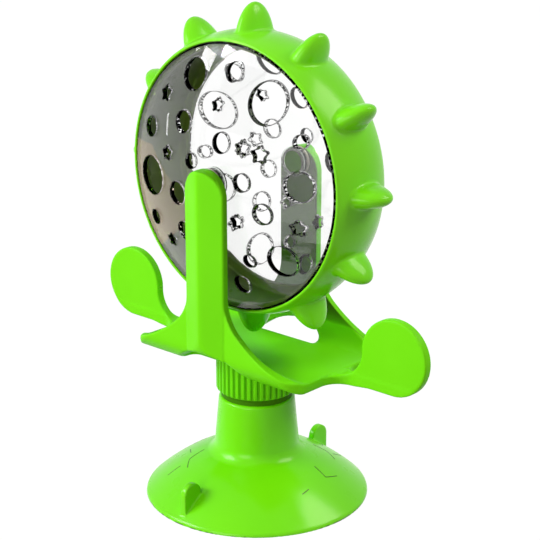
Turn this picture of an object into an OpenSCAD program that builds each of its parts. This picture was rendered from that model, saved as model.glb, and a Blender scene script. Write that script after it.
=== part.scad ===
// Windmill cat toy: a clear treat drum with soft spikes turns between two uprights,
// and the yoke that carries it swivels on a suction cup.
// Millimetres, +Z up. The origin is the middle of the cup's rim, on the floor.
// The drum turns about Y and the front of the toy faces -Y.

/* [Suction cup] */
// Diameter of the cup's rim
cup_d = 101; // [80:1:120]
// Thickness of the lip at the rim
lip_t = 1; // [0.8:0.1:3]
// Width of the flat ring that seals on the floor
seal_w = 1.4; // [0.8:0.1:3]
// Height of the hollow under the cup, at its middle
hollow_h = 12; // [6:0.5:14]
// Radius where the dome of the cup would start
dome_in_r = 21; // [19:0.5:24]
// Height where the dome of the cup would start
dome_in_z = 20; // [17:0.5:24]
// How far the dome swells out of a straight cone
dome_bulge = 1.6; // [0.3:0.1:3]
// Diameter at the top of the neck
neck_d = 34; // [32:0.5:38]
// Diameter at the foot of the neck
neck_foot_d = 38.2; // [34:0.2:42]
// Radius between the neck and the dome
neck_fillet = 3.5; // [2:0.5:9]
// Height of the top of the neck
neck_top = 46.2; // [42:0.2:60]
// Thickness of a lift tab
tab_t = 3; // [1.5:0.1:4]
// Distance from the axis to a tab's outer edge
tab_r = 48; // [38:0.2:48.4]
// Length of a tab along the radius
tab_len = 11.4; // [6:0.2:14]
// Height of a tab's top above the floor
tab_top = 16.8; // [12:0.2:20]
// Height of a tab's root above the floor, inside the wall of the cup
tab_root = 2.4; // [1.6:0.2:5]

/* [Swivel] */
// Radius of the anchor's foot inside the cup
anchor_foot_r = 12.5; // [10:0.5:14]
// Height of the underside of the anchor's foot
anchor_z = 20.5; // [18:0.5:24]
// Thickness of the anchor's foot
anchor_foot_t = 4; // [3:0.5:6]
// Radius of the anchor's stem
stem_r = 9; // [7:0.5:11]
// Radius of the spigot that the swivel turns on
spigot_r = 6; // [4:0.1:7]
// Radius of the spacer ring in the groove
spacer_r = 16; // [13:0.5:17]
// Thickness of the spacer ring
spacer_t = 2.8; // [1.5:0.1:4]
// Radius of the flange on the swivel bush
bush_flange_r = 10.5; // [9:0.1:10.6]
// Thickness of the flange on the swivel bush
bush_flange_t = 2; // [1:0.1:3]
// Wall of the swivel bush's sleeve
bush_wall = 1.9; // [1:0.1:3]
// Thickness of the washer over the bush
washer_t = 0.7; // [0.4:0.1:1]
// Radius of the head that holds the swivel together
head_r = 10; // [8:0.1:10.5]
// Thickness of the head
head_t = 4; // [2:0.1:5]
// Radius of the screw's shank
screw_r = 1.5; // [1:0.1:2.5]
// Radius of the screw's head
screw_head_r = 3.5; // [2.5:0.1:5]
// Height of the screw's head
screw_head_h = 1.8; // [1:0.1:3]
// Length of the screw's shank
screw_len = 16; // [10:1:20]

/* [Collar] */
// Radius over the knurled collar
collar_r = 18.2; // [17:0.1:20]
// Thickness of the web at the bottom of the collar
collar_web = 3.9; // [2:0.1:5]
// Chamfer round the bottom of the collar
collar_chamfer = 0.8; // [0.3:0.1:1.5]
// How many flutes the knurl has
flutes = 40; // [20:1:60]
// Radius of one flute
flute_r = 0.9; // [0.4:0.1:1.2]
// How far a flute's middle stands outside the collar
flute_out = 0.15; // [0.1:0.05:0.5]

/* [Yoke] */
// Height of the underside of the yoke's floor
floor_z = 65; // [60:0.5:75]
// Thickness of the floor
floor_t = 4.3; // [3:0.1:6]
// Gap between the inner faces of the uprights
gap_w = 58.8; // [56:0.2:70]
// Thickness of an upright at its edges
wall_t = 3.5; // [2.5:0.1:5]
// Radius inside the bend from the floor to an upright
bend_in_r = 10; // [6:0.5:12]
// Radius outside the bend from the floor to an upright
bend_out_r = 11; // [8:0.5:16]
// Height of the ridge down the middle of an upright
ridge_h = 4.1; // [2:0.1:6]
// Radius under the ridge where it turns in to the floor
ridge_bend_r = 18; // [14:0.5:20]
// Width of an upright
upright_w = 21.6; // [16:0.2:26]
// Height of the middle of an upright's round top
upright_mid_z = 144.2; // [138:0.2:150]
// Radius of the sweep from an upright to the floor
sweep_r = 20; // [12:0.5:26]
// Height of the middle of that sweep
sweep_z = 100.7; // [94:0.1:106]
// Where the sweep eases into a flatter curve, in degrees round its middle
sweep_turn = -130; // [-150:1:-120]
// Distance from the middle to the end of the floor
floor_half = 47.5; // [42:0.5:54]
// Radius of the floor's corners in plan
floor_corner = 12; // [4:0.5:16]
// Height of the floor's end on the flare
floor_end_z = 70.3; // [69.4:0.1:73]
// Height of the arch under each upright
arch_z = 74.6; // [70:0.1:77]
// Radius of that arch
arch_r = 28.7; // [24:0.1:32]
// Half the width of the arch in the floor
arch_half = 20.6; // [16:0.2:23]
// Distance from the middle to the arch's inner end
arch_in = 18.4; // [18.3:0.1:22]
// Radius of the arch's inner corners
arch_corner = 4; // [2:0.5:8]
// Radius of the boss under the floor
boss_r = 14; // [12.5:0.1:14.5]
// Radius of the bore in the boss
boss_bore_r = 11.5; // [10.8:0.1:12]
// Height of the boss's lower end
boss_z = 53.6; // [53.2:0.1:58]

/* [Paddles] */
// Thickness of a paddle
paddle_t = 4.6; // [3:0.1:7]
// Radius of a paddle's round end
paddle_r = 16.5; // [12:0.1:20]
// Distance from the middle to the middle of a paddle
paddle_x = 77.2; // [70:0.2:84]
// Height of the middle of a paddle
paddle_z = 82.6; // [80:0.1:86]
// Radius of the neck between a paddle and the floor
paddle_neck_r = 12; // [6:0.5:14]
// Radius in plan between a paddle and the floor's end
paddle_root_r = 9; // [6:0.5:14]

/* [Drum] */
// Height of the drum's axis
axis_z = 148.5; // [146:0.1:150]
// Width of the rim
rim_w = 33; // [28:0.5:38]
// Radius of the rim at its crown
rim_r = 61.4; // [58:0.1:64]
// Radius of the rim's crown in section
crown_r = 39.3; // [30:0.1:60]
// How far the crown lies in front of the middle
crown_off = 2; // [0:0.1:3]
// Wall of the rim
rim_wall = 2.5; // [1.5:0.1:4]
// Radius of the front window
front_win_r = 57.5; // [55:0.1:59]
// Radius of the rear window
rear_win_r = 55.6; // [53:0.1:57]
// Width of the lip round a window
lip_w = 1.1; // [0.6:0.1:2]
// Width of the ledge that a dome sits on
ledge_w = 3; // [2:0.1:5]
// Thickness of that ledge
ledge_t = 2.4; // [1.5:0.1:4]
// How many spikes the rim has
spikes = 12; // [6:1:16]
// Radius of the spikes' tips
spike_tip_r = 72.6; // [66:0.1:76]
// Height of a spike from its hidden middle to its tip
spike_h = 19.7; // [14:0.1:24]
// Half the length of a spike along the axis
spike_half_l = 11.1; // [8:0.1:13]
// Half the thickness of a spike
spike_half_t = 5.8; // [3:0.1:7]
// How far a spike's middle lies in front of the drum's middle
spike_off = 0.7; // [0:0.1:2]

/* [Domes] */
// Gap between the top of a dome and its upright
dome_clear = 1.8; // [1.2:0.1:4]
// Distance from the drum's middle to the edge of a dome
dome_edge_y = 16.1; // [14:0.1:16.4]
// Thickness of a dome
dome_t = 2.5; // [1.5:0.1:4]
// Radius of the front window that the holes are laid out for
front_lay_r = 57.5; // [54:0.1:60]
// Radius of the rear window that the holes are laid out for
rear_lay_r = 55.6; // [52:0.1:58]
// Turn of the rear dome's pattern, in degrees
rear_turn = -30; // [-180:1:180]
// Inner radius of a star, as a share of its outer radius
star_in = 0.48; // [0.3:0.01:0.6]

/* [Axle] */
// Radius of an axle pin
pin_r = 5; // [3:0.1:5.2]
// Depth of a pin in its upright
pin_deep = 4.1; // [2:0.1:4.6]
// Distance from the drum's middle to a pin's inner end
pin_in_y = 24.4; // [20:0.1:25]
// Radius of a hub bush where it passes through a dome
bush_r = 5.9; // [5.6:0.05:6.2]
// Radius of a hub bush's sleeve inside the drum
sleeve_r = 6.7; // [6.4:0.1:9]
// Distance from the drum's middle to a sleeve's inner end
sleeve_in_y = 24.2; // [20:0.1:24.4]
// Outer radius of a thrust washer
thrust_r = 6.6; // [6:0.1:8]
// Thickness of a thrust washer
thrust_t = 0.8; // [0.4:0.1:1.2]
// Gap between a thrust washer and its hub bush
thrust_gap = 0.2; // [0.1:0.05:0.5]

/* [Fits] */
// Gap round a turning shaft
run_gap = 0.05; // [0.02:0.01:0.09]
// Gap round a piece that is fixed in its seat
seat_gap = 0.05; // [0.02:0.01:0.1]
// Gap under and over the swivel
swivel_gap = 0.1; // [0.05:0.01:0.2]
// Gap round the edge of a dome
dome_gap = 0.1; // [0.05:0.01:0.2]

/* [Hidden] */
fine = 96;
over = 1;
far = 200;
star_points = 5;
half_in = gap_w / 2;
half_out = half_in + wall_t;
half_ridge = half_out + ridge_h;
floor_top = floor_z + floor_t;
upright_half = upright_w / 2;
upright_top = upright_mid_z + upright_half;
sweep_x = upright_half + sweep_r;
sweep_mid = [sweep_x, sweep_z];
sweep_dir = [cos(sweep_turn), sin(sweep_turn)];
sweep_join = sweep_mid + sweep_r * sweep_dir;
floor_end = [floor_half, floor_end_z];
end_from_mid = floor_end - sweep_mid;
flat_room = end_from_mid * end_from_mid - sweep_r * sweep_r;
flat_extra = flat_room / (2 * (sweep_r - end_from_mid * sweep_dir));
flat_r = sweep_r + flat_extra;
flat_mid = sweep_mid - flat_extra * sweep_dir;
flat_reach = 1.2;
paddle_low = paddle_z - paddle_r;
root_x = floor_half + paddle_root_r;
neck_dz = floor_top + paddle_neck_r - paddle_z;
neck_x = paddle_x - sqrt(pow(paddle_r + paddle_neck_r, 2) - neck_dz * neck_dz);
cup_r = cup_d / 2;
seal_r = cup_r - seal_w;
hollow_r = (seal_r * seal_r + hollow_h * hollow_h) / (2 * hollow_h);
chord_x = cup_r - dome_in_r;
chord_z = lip_t - dome_in_z;
chord = norm([chord_x, chord_z]);
swell_r = chord * chord / (8 * dome_bulge) + dome_bulge / 2;
swell_x = (cup_r + dome_in_r) / 2 + chord_z / chord * (swell_r - dome_bulge);
swell_z = (lip_t + dome_in_z) / 2 - chord_x / chord * (swell_r - dome_bulge);
foot_r = neck_foot_d / 2;
fil_x = foot_r + neck_fillet;
fil_z = swell_z + sqrt(pow(swell_r + neck_fillet, 2) - pow(fil_x - swell_x, 2));
fil_k = swell_r / (swell_r + neck_fillet);
tab_mid = tab_r - tab_len / 2;
collar_z = neck_top + spacer_t + swivel_gap;
web_z = collar_z + collar_web;
flange_z = web_z + bush_flange_t;
washer_z = flange_z + swivel_gap / 2;
head_z = washer_z + washer_t + swivel_gap / 2;
collar_top = floor_z - swivel_gap;
sleeve_bush_r = spigot_r + run_gap + bush_wall;
crown_x = rim_r - crown_r;
half_rim = rim_w / 2;
seat_y = dome_edge_y - dome_t - 2 * dome_gap;
ledge_y = seat_y - ledge_t;
spike_mid = spike_tip_r - spike_h;
dome_y = half_in - dome_clear;
pin_out_y = half_in + pin_deep;
bush_out_y = half_in - thrust_t - thrust_gap;
sleeve_out_y = dome_y - dome_t - swivel_gap * 2;
dome_hole_r = bush_r + seat_gap;
pin_hole_r = pin_r + run_gap;

// Round holes of a dome in its own view: across, up, diameter
ROUND_HOLES = [
  [-16.2, 43, 13], [6, 46.4, 7.8], [24.9, 35.9, 17.2], [4.1, 17.5, 8.3],
  [-19.5, 22.9, 9.1], [-43.3, 16.8, 8.3], [-42.3, -4.6, 17], [-22.8, -8.5, 9.8],
  [-42.3, -23.8, 6.4], [-20.2, -25, 7.8], [15.6, 2.5, 7.4], [25.5, -9.4, 8.4],
  [33.1, -28.8, 12.9], [10.5, -43.6, 7.4], [16.8, -31.5, 5.2], [42, 4.1, 12.6],
  [41.6, 22.3, 5.6], [-13, 7.3, 6.2]
];
// Star holes of a dome in its own view: across, up, size
STAR_HOLES = [
  [-33.7, 32.6, 8], [-29.6, 7.7, 7.5], [0, 32.5, 6.5], [15.4, 17, 7.8], [23.9, 15.2, 8.6],
  [-30.9, -31.8, 7], [12.6, -14.5, 7], [41.5, -13.3, 8], [-2.2, -29.1, 7]
];

// Turns a shape drawn about Z so that its Z runs along +Y, at the drum's axis.
module on_axis() {
  translate([0, 0, axis_z]) rotate([-90, 0, 0]) children();
}

// Extrudes a flat shape drawn in X and Z along Y, between y0 and y1.
module along_y(y0, y1) {
  translate([0, y1, 0]) rotate([90, 0, 0]) linear_extrude(y1 - y0) children();
}

// Extrudes a flat shape drawn in Y and Z along X, over the given half length.
module along_x(half) {
  translate([-half, 0, 0]) rotate([90, 0, 90]) linear_extrude(2 * half) children();
}

module ring(r_out, r_in, z0, z1) {
  difference() {
    translate([0, 0, z0]) cylinder(r = r_out, h = z1 - z0, $fn = fine);
    translate([0, 0, z0 - over]) cylinder(r = r_in, h = z1 - z0 + 2 * over, $fn = fine);
  }
}

module rod(r, z0, z1) {
  translate([0, 0, z0]) cylinder(r = r, h = z1 - z0, $fn = fine);
}

// Half section of the cup without its hollow: dome, fillet and neck.
module cup_section() {
  intersection() {
    translate([swell_x, swell_z]) circle(r = swell_r, $fn = fine);
    square([cup_r, dome_in_z]);
  }
  difference() {
    polygon([
      [0, 0], [swell_x + (fil_x - swell_x) * fil_k, swell_z + (fil_z - swell_z) * fil_k],
      [fil_x, fil_z], [0, fil_z]
    ]);
    translate([fil_x, fil_z]) circle(r = neck_fillet, $fn = fine);
  }
  polygon([
    [0, dome_in_z - over], [foot_r, dome_in_z - over], [foot_r, fil_z],
    [neck_d / 2, neck_top], [0, neck_top]
  ]);
}

module half_plane() {
  intersection() {
    children();
    square([far, far]);
  }
}

module lift_tab() {
  translate([0, -tab_mid, 0]) along_x(tab_t / 2) union() {
    translate([-tab_len / 2, tab_root]) square([tab_len, tab_top - tab_root - tab_len / 2]);
    translate([0, tab_top - tab_len / 2]) circle(d = tab_len, $fn = fine);
  }
}

module suction_cup() {
  color([0.40, 0.90, 0.10]) difference() {
    union() {
      rotate_extrude($fn = fine) half_plane() cup_section();
      lift_tab();
      rotate([0, 0, 180]) lift_tab();
    }
    translate([0, 0, hollow_h - hollow_r]) sphere(r = hollow_r, $fn = fine);
    rod(anchor_foot_r + seat_gap, anchor_z - seat_gap, anchor_z + anchor_foot_t + seat_gap);
    rod(stem_r + seat_gap, anchor_z + over, neck_top + over);
  }
}

module neck_anchor() {
  color([0.85, 0.86, 0.84]) difference() {
    union() {
      rod(anchor_foot_r, anchor_z, anchor_z + anchor_foot_t);
      rod(stem_r, anchor_z, neck_top);
      rod(spigot_r, anchor_z, head_z);
    }
    rod(screw_r + seat_gap, head_z + head_t - screw_len - over, head_z + over);
  }
}

module swivel_spacer() {
  color([0.25, 0.27, 0.22]) ring(spacer_r, spigot_r + seat_gap, neck_top, neck_top + spacer_t);
}

module head_washer() {
  color([0.75, 0.76, 0.78]) ring(head_r, spigot_r + seat_gap, washer_z, washer_z + washer_t);
}

module swivel_head() {
  color([0.85, 0.86, 0.84]) ring(head_r, screw_r + seat_gap, head_z, head_z + head_t);
}

module head_screw() {
  color([0.75, 0.76, 0.78]) union() {
    rod(screw_head_r, head_z + head_t, head_z + head_t + screw_head_h);
    rod(screw_r, head_z + head_t - screw_len, head_z + head_t + screw_head_h);
  }
}

module knurled_collar() {
  color([0.40, 0.88, 0.12]) difference() {
    union() {
      translate([0, 0, collar_z])
        cylinder(r1 = collar_r - collar_chamfer, r2 = collar_r, h = collar_chamfer, $fn = fine);
      rod(collar_r, collar_z + collar_chamfer, collar_top);
    }
    rod(sleeve_bush_r + seat_gap, collar_z - over, web_z + over);
    rod(boss_r + seat_gap, web_z, collar_top + over);
    for (i = [0 : flutes - 1]) {
      rotate([0, 0, i * 360 / flutes]) translate([collar_r + flute_out, 0, 0])
        rod(flute_r, collar_z - over, collar_top + over);
    }
  }
}

module swivel_bush() {
  color([0.88, 0.88, 0.84]) union() {
    ring(sleeve_bush_r, spigot_r + run_gap, collar_z + 2 * swivel_gap, flange_z);
    ring(bush_flange_r, spigot_r + run_gap, web_z, flange_z);
  }
}

// A rounded U in Y and Z, filled: the outside or the inside of the yoke's bend.
module u_shape(half, low, r) {
  translate([-half, low + r]) square([2 * half, upright_top + over - low - r]);
  translate([-half + r, low]) square([2 * half - 2 * r, r + over]);
  for (s = [-1, 1]) {
    translate([s * (half - r), low + r]) circle(r = r, $fn = fine);
  }
}

// One half of the flare from an upright to the floor's end, under a round and then a flatter sweep.
module flare() {
  difference() {
    polygon([
      [0, floor_z - over], [floor_half, floor_z - over], floor_end, sweep_join,
      [upright_half, sweep_z], [0, sweep_z]
    ]);
    translate(sweep_mid) circle(r = sweep_r, $fn = fine);
    intersection() {
      translate(flat_mid) circle(r = flat_r, $fn = fine);
      polygon([
        flat_mid,
        flat_mid + flat_reach * (sweep_join - flat_mid),
        flat_mid + flat_reach * (floor_end - flat_mid)
      ]);
    }
  }
}

// The yoke seen from the front: round-topped upright that sweeps out to the floor.
module front_shape() {
  translate([-upright_half, floor_z - over]) square([upright_w, upright_mid_z - floor_z + over]);
  translate([0, upright_mid_z]) circle(r = upright_half, $fn = fine);
  flare();
  mirror([1, 0]) flare();
}

// The yoke seen from above: its floor with four round corners.
module plan_shape() {
  translate([-floor_half + floor_corner, -half_out])
    square([2 * (floor_half - floor_corner), 2 * half_out]);
  translate([-floor_half, -half_out + floor_corner])
    square([2 * floor_half, 2 * (half_out - floor_corner)]);
  for (s = [-1, 1], t = [-1, 1]) {
    translate([s * (floor_half - floor_corner), t * (half_out - floor_corner)])
      circle(r = floor_corner, $fn = fine);
  }
}

module bent_strap() {
  intersection() {
    along_x(floor_half) difference() {
      u_shape(half_out, floor_z, bend_out_r);
      u_shape(half_in, floor_top, bend_in_r);
    }
    along_y(-far, far) front_shape();
    linear_extrude(far) plan_shape();
  }
}

// The roof-shaped ridge on the outside of one upright.
module ridge() {
  intersection() {
    translate([0, 0, floor_z]) linear_extrude(upright_top - floor_z) polygon([
      [-upright_half, -half_out], [upright_half, -half_out], [0, -half_ridge]
    ]);
    along_x(upright_half) u_shape(half_ridge, floor_z, ridge_bend_r);
    along_y(-half_ridge - over, -half_in) front_shape();
  }
}

// The way under one upright: an arch from the front, with round corners in plan.
module arch_cut() {
  intersection() {
    along_y(-far, 0) translate([0, arch_z - arch_r]) circle(r = arch_r, $fn = fine);
    translate([0, 0, floor_z - over]) linear_extrude(far) union() {
      translate([-arch_half + arch_corner, -far]) square([2 * (arch_half - arch_corner), far - arch_in]);
      translate([-arch_half, -far]) square([2 * arch_half, far - arch_in - arch_corner]);
      for (s = [-1, 1]) {
        translate([s * (arch_half - arch_corner), -arch_in - arch_corner])
          circle(r = arch_corner, $fn = fine);
      }
    }
  }
}

module paddle() {
  along_y(-paddle_t / 2, paddle_t / 2) union() {
    translate([paddle_x, paddle_z]) circle(r = paddle_r, $fn = fine);
    polygon([
      [floor_half - over, floor_z], [root_x, floor_z], [root_x + paddle_root_r, paddle_low],
      [paddle_x, paddle_low], [paddle_x, floor_top], [floor_half - over, floor_top]
    ]);
    difference() {
      translate([neck_x, paddle_low]) square([paddle_x - neck_x, paddle_z - paddle_low]);
      translate([neck_x, floor_top + paddle_neck_r]) circle(r = paddle_neck_r, $fn = fine);
    }
  }
  translate([0, 0, floor_z]) linear_extrude(floor_t) difference() {
    translate([floor_half - over, -paddle_t / 2 - paddle_root_r])
      square([paddle_root_r + over, paddle_t + 2 * paddle_root_r]);
    for (s = [-1, 1]) {
      translate([root_x, s * (paddle_t / 2 + paddle_root_r)])
        circle(r = paddle_root_r, $fn = fine);
    }
  }
}

module yoke() {
  color([0.40, 0.90, 0.10]) difference() {
    union() {
      bent_strap();
      ridge();
      mirror([0, 1, 0]) ridge();
      paddle();
      mirror([1, 0, 0]) paddle();
      rod(boss_r, boss_z, floor_z + over);
    }
    arch_cut();
    mirror([0, 1, 0]) arch_cut();
    rod(boss_bore_r, boss_z - over, floor_z);
    on_axis() rod(pin_r + seat_gap, -pin_out_y - seat_gap, pin_out_y + seat_gap);
  }
}

module axle_pin() {
  on_axis() rod(pin_r, -pin_out_y, -pin_in_y);
}

module front_axle_pin() {
  color([0.85, 0.92, 0.88, 0.6]) axle_pin();
}

module rear_axle_pin() {
  color([0.85, 0.92, 0.88, 0.6]) mirror([0, 1, 0]) axle_pin();
}

module thrust_washer() {
  on_axis() ring(thrust_r, pin_r + seat_gap, -half_in, -half_in + thrust_t);
}

module front_thrust_washer() {
  color([0.88, 0.88, 0.84]) thrust_washer();
}

module rear_thrust_washer() {
  color([0.88, 0.88, 0.84]) mirror([0, 1, 0]) thrust_washer();
}

// One spike: an egg that stands out of the rim, seen here on the +X side.
module spike() {
  translate([spike_mid, -spike_off, 0]) scale([spike_h, spike_half_l, spike_half_t])
    sphere(r = 1, $fn = fine);
}

// Half section of the rim's outside, as a radius and a distance along the axis, with a lip at each window.
module rim_outside() {
  intersection() {
    translate([crown_x, -crown_off]) circle(r = crown_r, $fn = fine);
    translate([0, -half_rim]) square([rim_r + over, rim_w]);
  }
  translate([0, -half_rim]) square([front_win_r + lip_w, half_rim - ledge_y]);
  translate([0, ledge_y]) square([rear_win_r + lip_w, half_rim - ledge_y]);
}

// Inner radius of a ledge: its width in from the window, or from the wall where that is narrower.
function ledge_in_r(win_r, off) =
  min(win_r, crown_x + sqrt(pow(crown_r - rim_wall, 2) - pow(ledge_y + off, 2))) - ledge_w;

// Half section of what is open inside the rim: the chamber, two ledges and two seats.
module rim_inside() {
  intersection() {
    translate([crown_x, -crown_off]) circle(r = crown_r - rim_wall, $fn = fine);
    translate([0, -ledge_y]) square([rim_r, 2 * ledge_y]);
  }
  translate([0, -seat_y - over]) square([ledge_in_r(front_win_r, -crown_off), seat_y + over]);
  square([ledge_in_r(rear_win_r, crown_off), seat_y + over]);
  translate([0, -far]) square([front_win_r, far - seat_y]);
  translate([0, seat_y]) square([rear_win_r, far]);
}

module wheel_rim() {
  color([0.42, 0.92, 0.12]) difference() {
    union() {
      on_axis() rotate_extrude($fn = fine) rim_outside();
      translate([0, 0, axis_z]) for (i = [0 : spikes - 1]) {
        rotate([0, -i * 360 / spikes, 0]) spike();
      }
    }
    on_axis() rotate_extrude($fn = fine) rim_inside();
  }
}

// Half section of a dome whose edge has the given radius, with its top towards +Y.
module dome_section(edge_r) {
  rise = dome_y - dome_edge_y;
  ball_r = (edge_r * edge_r + rise * rise) / (2 * rise);
  intersection() {
    difference() {
      translate([0, dome_y - ball_r]) circle(r = ball_r, $fn = fine);
      translate([0, dome_y - ball_r]) circle(r = ball_r - dome_t, $fn = fine);
    }
    square([edge_r, dome_y + over]);
  }
}

module star(size) {
  turn = 180 / star_points;
  polygon([
    for (i = [0 : 2 * star_points - 1])
      (i % 2 == 0 ? 1 : star_in) * size / 2 * [sin(i * turn), cos(i * turn)]
  ]);
}

// The treat holes of a dome in its own view, as they are laid out.
module treat_holes() {
  for (h = ROUND_HOLES) {
    translate([h[0], h[1]]) circle(d = h[2], $fn = fine);
  }
  for (h = STAR_HOLES) {
    translate([h[0], h[1]]) star(h[2]);
  }
}

// A dome facing -Y about the origin. Its treat holes grow with its window.
module holed_dome(edge_r, grow, turn) {
  difference() {
    rotate([90, 0, 0]) rotate_extrude($fn = fine) dome_section(edge_r);
    rotate([0, -turn, 0]) along_y(-far, 0) union() {
      scale([grow, grow]) treat_holes();
      circle(r = dome_hole_r, $fn = fine);
    }
  }
}

module front_dome() {
  color([0.85, 0.92, 0.90, 0.4]) translate([0, 0, axis_z])
    holed_dome(front_win_r - dome_gap, front_win_r / front_lay_r, 0);
}

module rear_dome() {
  color([0.85, 0.92, 0.90, 0.4]) translate([0, 0, axis_z]) rotate([0, 0, 180])
    holed_dome(rear_win_r - dome_gap, rear_win_r / rear_lay_r, rear_turn);
}

module hub_bush() {
  on_axis() difference() {
    union() {
      rod(bush_r, -bush_out_y, -sleeve_in_y);
      rod(sleeve_r, -sleeve_out_y, -sleeve_in_y);
    }
    rod(pin_hole_r, -bush_out_y - over, -sleeve_in_y + over);
  }
}

module front_hub_bush() {
  color([0.85, 0.92, 0.88, 0.6]) hub_bush();
}

module rear_hub_bush() {
  color([0.85, 0.92, 0.88, 0.6]) mirror([0, 1, 0]) hub_bush();
}

suction_cup();
neck_anchor();
swivel_spacer();
head_washer();
swivel_head();
head_screw();
yoke();
knurled_collar();
swivel_bush();
front_axle_pin();
rear_axle_pin();
front_thrust_washer();
rear_thrust_washer();
wheel_rim();
front_dome();
rear_dome();
front_hub_bush();
rear_hub_bush();
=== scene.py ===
"""Windmill cat toy: the looks of the photographed toy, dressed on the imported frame.

Lengths are in millimetres until a mesh is made, which is in metres, in the CAD's own frame:
+Z is up, the drum turns about Y, the front faces -Y and the origin is under the suction cup.
Green mouldings with blended corners are made as smooth distance fields, and the clear domes as
exact spherical shells with bevelled holes.
"""
import itertools
import math

import bpy
import numpy as np
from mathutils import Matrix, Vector
from mathutils.geometry import delaunay_2d_cdt


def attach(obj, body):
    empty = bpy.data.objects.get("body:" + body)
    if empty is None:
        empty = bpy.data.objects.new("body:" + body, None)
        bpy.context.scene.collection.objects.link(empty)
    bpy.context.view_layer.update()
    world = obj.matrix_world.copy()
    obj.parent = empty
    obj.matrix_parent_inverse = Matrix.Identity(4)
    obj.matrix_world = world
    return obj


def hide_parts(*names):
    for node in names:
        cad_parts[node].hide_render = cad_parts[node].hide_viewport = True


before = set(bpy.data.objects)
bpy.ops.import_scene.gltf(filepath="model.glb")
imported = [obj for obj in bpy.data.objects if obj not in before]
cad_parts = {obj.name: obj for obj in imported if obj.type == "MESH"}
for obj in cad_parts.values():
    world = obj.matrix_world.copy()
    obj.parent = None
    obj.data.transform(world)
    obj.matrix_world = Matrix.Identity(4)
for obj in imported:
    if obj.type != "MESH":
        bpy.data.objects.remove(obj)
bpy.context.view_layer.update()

MM = 0.001
# Steps of the grids that the mouldings are made on
NET_STEP = 0.75
RIM_STEP = 0.7
SHARP_TURN = math.radians(40)

# Suction cup
CUP_R = 50.5
LIP_T = 1.0
SEAL_W = 1.4
HOLLOW_H = 12.0
DOME_IN = (21.0, 20.0)
DOME_BULGE = 1.6
NECK_R = 17.0
NECK_FOOT_R = 19.1
NECK_FOOT_Z = 23.1
NECK_FILLET = 3.4
NECK_TOP = 46.2
NECK_ROUND = 1.4
CUP_ROUND = 0.9
STEM_R = 9.05
STEM_DEPTH = 6.0
TAB_T = 3.0
TAB_MID = 43.0
TAB_R = 5.0
TAB_MID_Z = 11.8
TAB_FOOT_Z = 2.4
TAB_ROUND = 0.5
TAB_BLEND = 0.8
LINE_HALF = 0.17
LINE_UP = 0.05
LINE_DOWN = 0.2
LINE_POINTS = 13
# Strokes of painted shade along the cup's star outlines, where their edges fall in shadow: radius and turn
# in degrees at each end
CUP_SHADE_STROKES = [
    (37.1, 185.4, 32.7, 178.6), (31.8, -153.2, 30.4, -143.7), (24.0, -136.8, 30.7, -131.5),
    (30.7, -131.5, 32.8, -120.0), (35.1, -129.1, 40.9, -128.3), (26.9, 58.7, 33.0, 54.9),
    (33.0, 54.9, 35.8, 45.7), (38.5, 81.1, 33.9, 68.3), (36.2, 56.3, 42.1, 64.1),
    (29.1, 14.3, 35.2, 12.6), (35.2, 12.6, 38.0, 23.2), (37.4, -15.8, 36.3, -9.2),
]

# Collar
COLLAR_R = 18.2
COLLAR_Z = 49.1
COLLAR_TOP = 64.9
COLLAR_WEB_TOP = 53.0
COLLAR_HOLE_R = 8.0
COLLAR_BORE_R = 14.05
FLUTES = 40
FLUTE_STEPS = 14
FLUTE_DEPTH = 0.9
FLUTE_HALF = 0.62
GROOVE_SHARE = 0.6

# Yoke
YOKE_ROUND = 0.8
FLOOR_ROUND = 1.0
FLOOR_Z = 65.0
FLOOR_TOP = 69.3
HALF_IN = 29.4
HALF_OUT = 32.9
HALF_RIDGE = 37.0
BEND_IN = 10.0
BEND_OUT = 11.0
RIDGE_BEND = 18.0
RIDGE_SOFT = 0.2
UPRIGHT_HALF = 10.8
UPRIGHT_MID_Z = 144.2
SWEEP_R = 20.0
SWEEP_Z = 100.7
SWEEP_TURN = math.radians(-130)
SWEEP_FAR_R = 73.9
FLOOR_HALF = 47.5
FLOOR_CORNER = 12.0
ARCH_Z = 74.6
ARCH_R = 28.7
ARCH_HALF = 20.6
ARCH_IN = 18.4
ARCH_CORNER = 4.0
BOSS_R = 14.0
BOSS_BORE_R = 11.5
BOSS_Z = 53.6
BOSS_BITE = 1.0
PADDLE_T = 4.6
PADDLE_R = 16.5
PADDLE_X = 77.2
PADDLE_Z = 82.6
PADDLE_NECK_R = 12.0
PADDLE_NECK_X = (42.8, 77.2)
PADDLE_ROOT_R = 9.0
PADDLE_ROOT_Y = 14.0
PADDLE_FOOT_R = 3.0
PADDLE_LOW_X = (54.5, 66.5)
PIN_HOLE_R = 5.05
PIN_OUT_Y = 33.55
GAP_FADE_FRONT = (66.0, 44.0)
GAP_FADE_REAR = (80.0, 64.0)
GAP_FADE_OFF = (0.5, 0.1)
YOKE_REACH = (94.6, 38.2)

# Drum
AXIS_Z = 148.5
HALF_RIM = 16.5
RIM_R = 61.4
CROWN_R = 39.3
CROWN_OFF = 2.0
RIM_WALL = 2.5
FRONT_WIN_R = 57.5
REAR_WIN_R = 55.6
LEDGE_Y = 13.4
LEDGE_T = 2.4
LEDGE_W = 3.0
RIM_ROUND = 0.7
CHAMBER_ROUND = 1.0
HOLLOW_ROUND = 0.6
SPIKES = 12
SPIKE_TIP_R = 72.6
SPIKE_H = 19.7
SPIKE_HALF_L = 11.1
SPIKE_HALF_T = 5.8
SPIKE_OFF = 0.7
SPIKE_BLEND = 1.3

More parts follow.
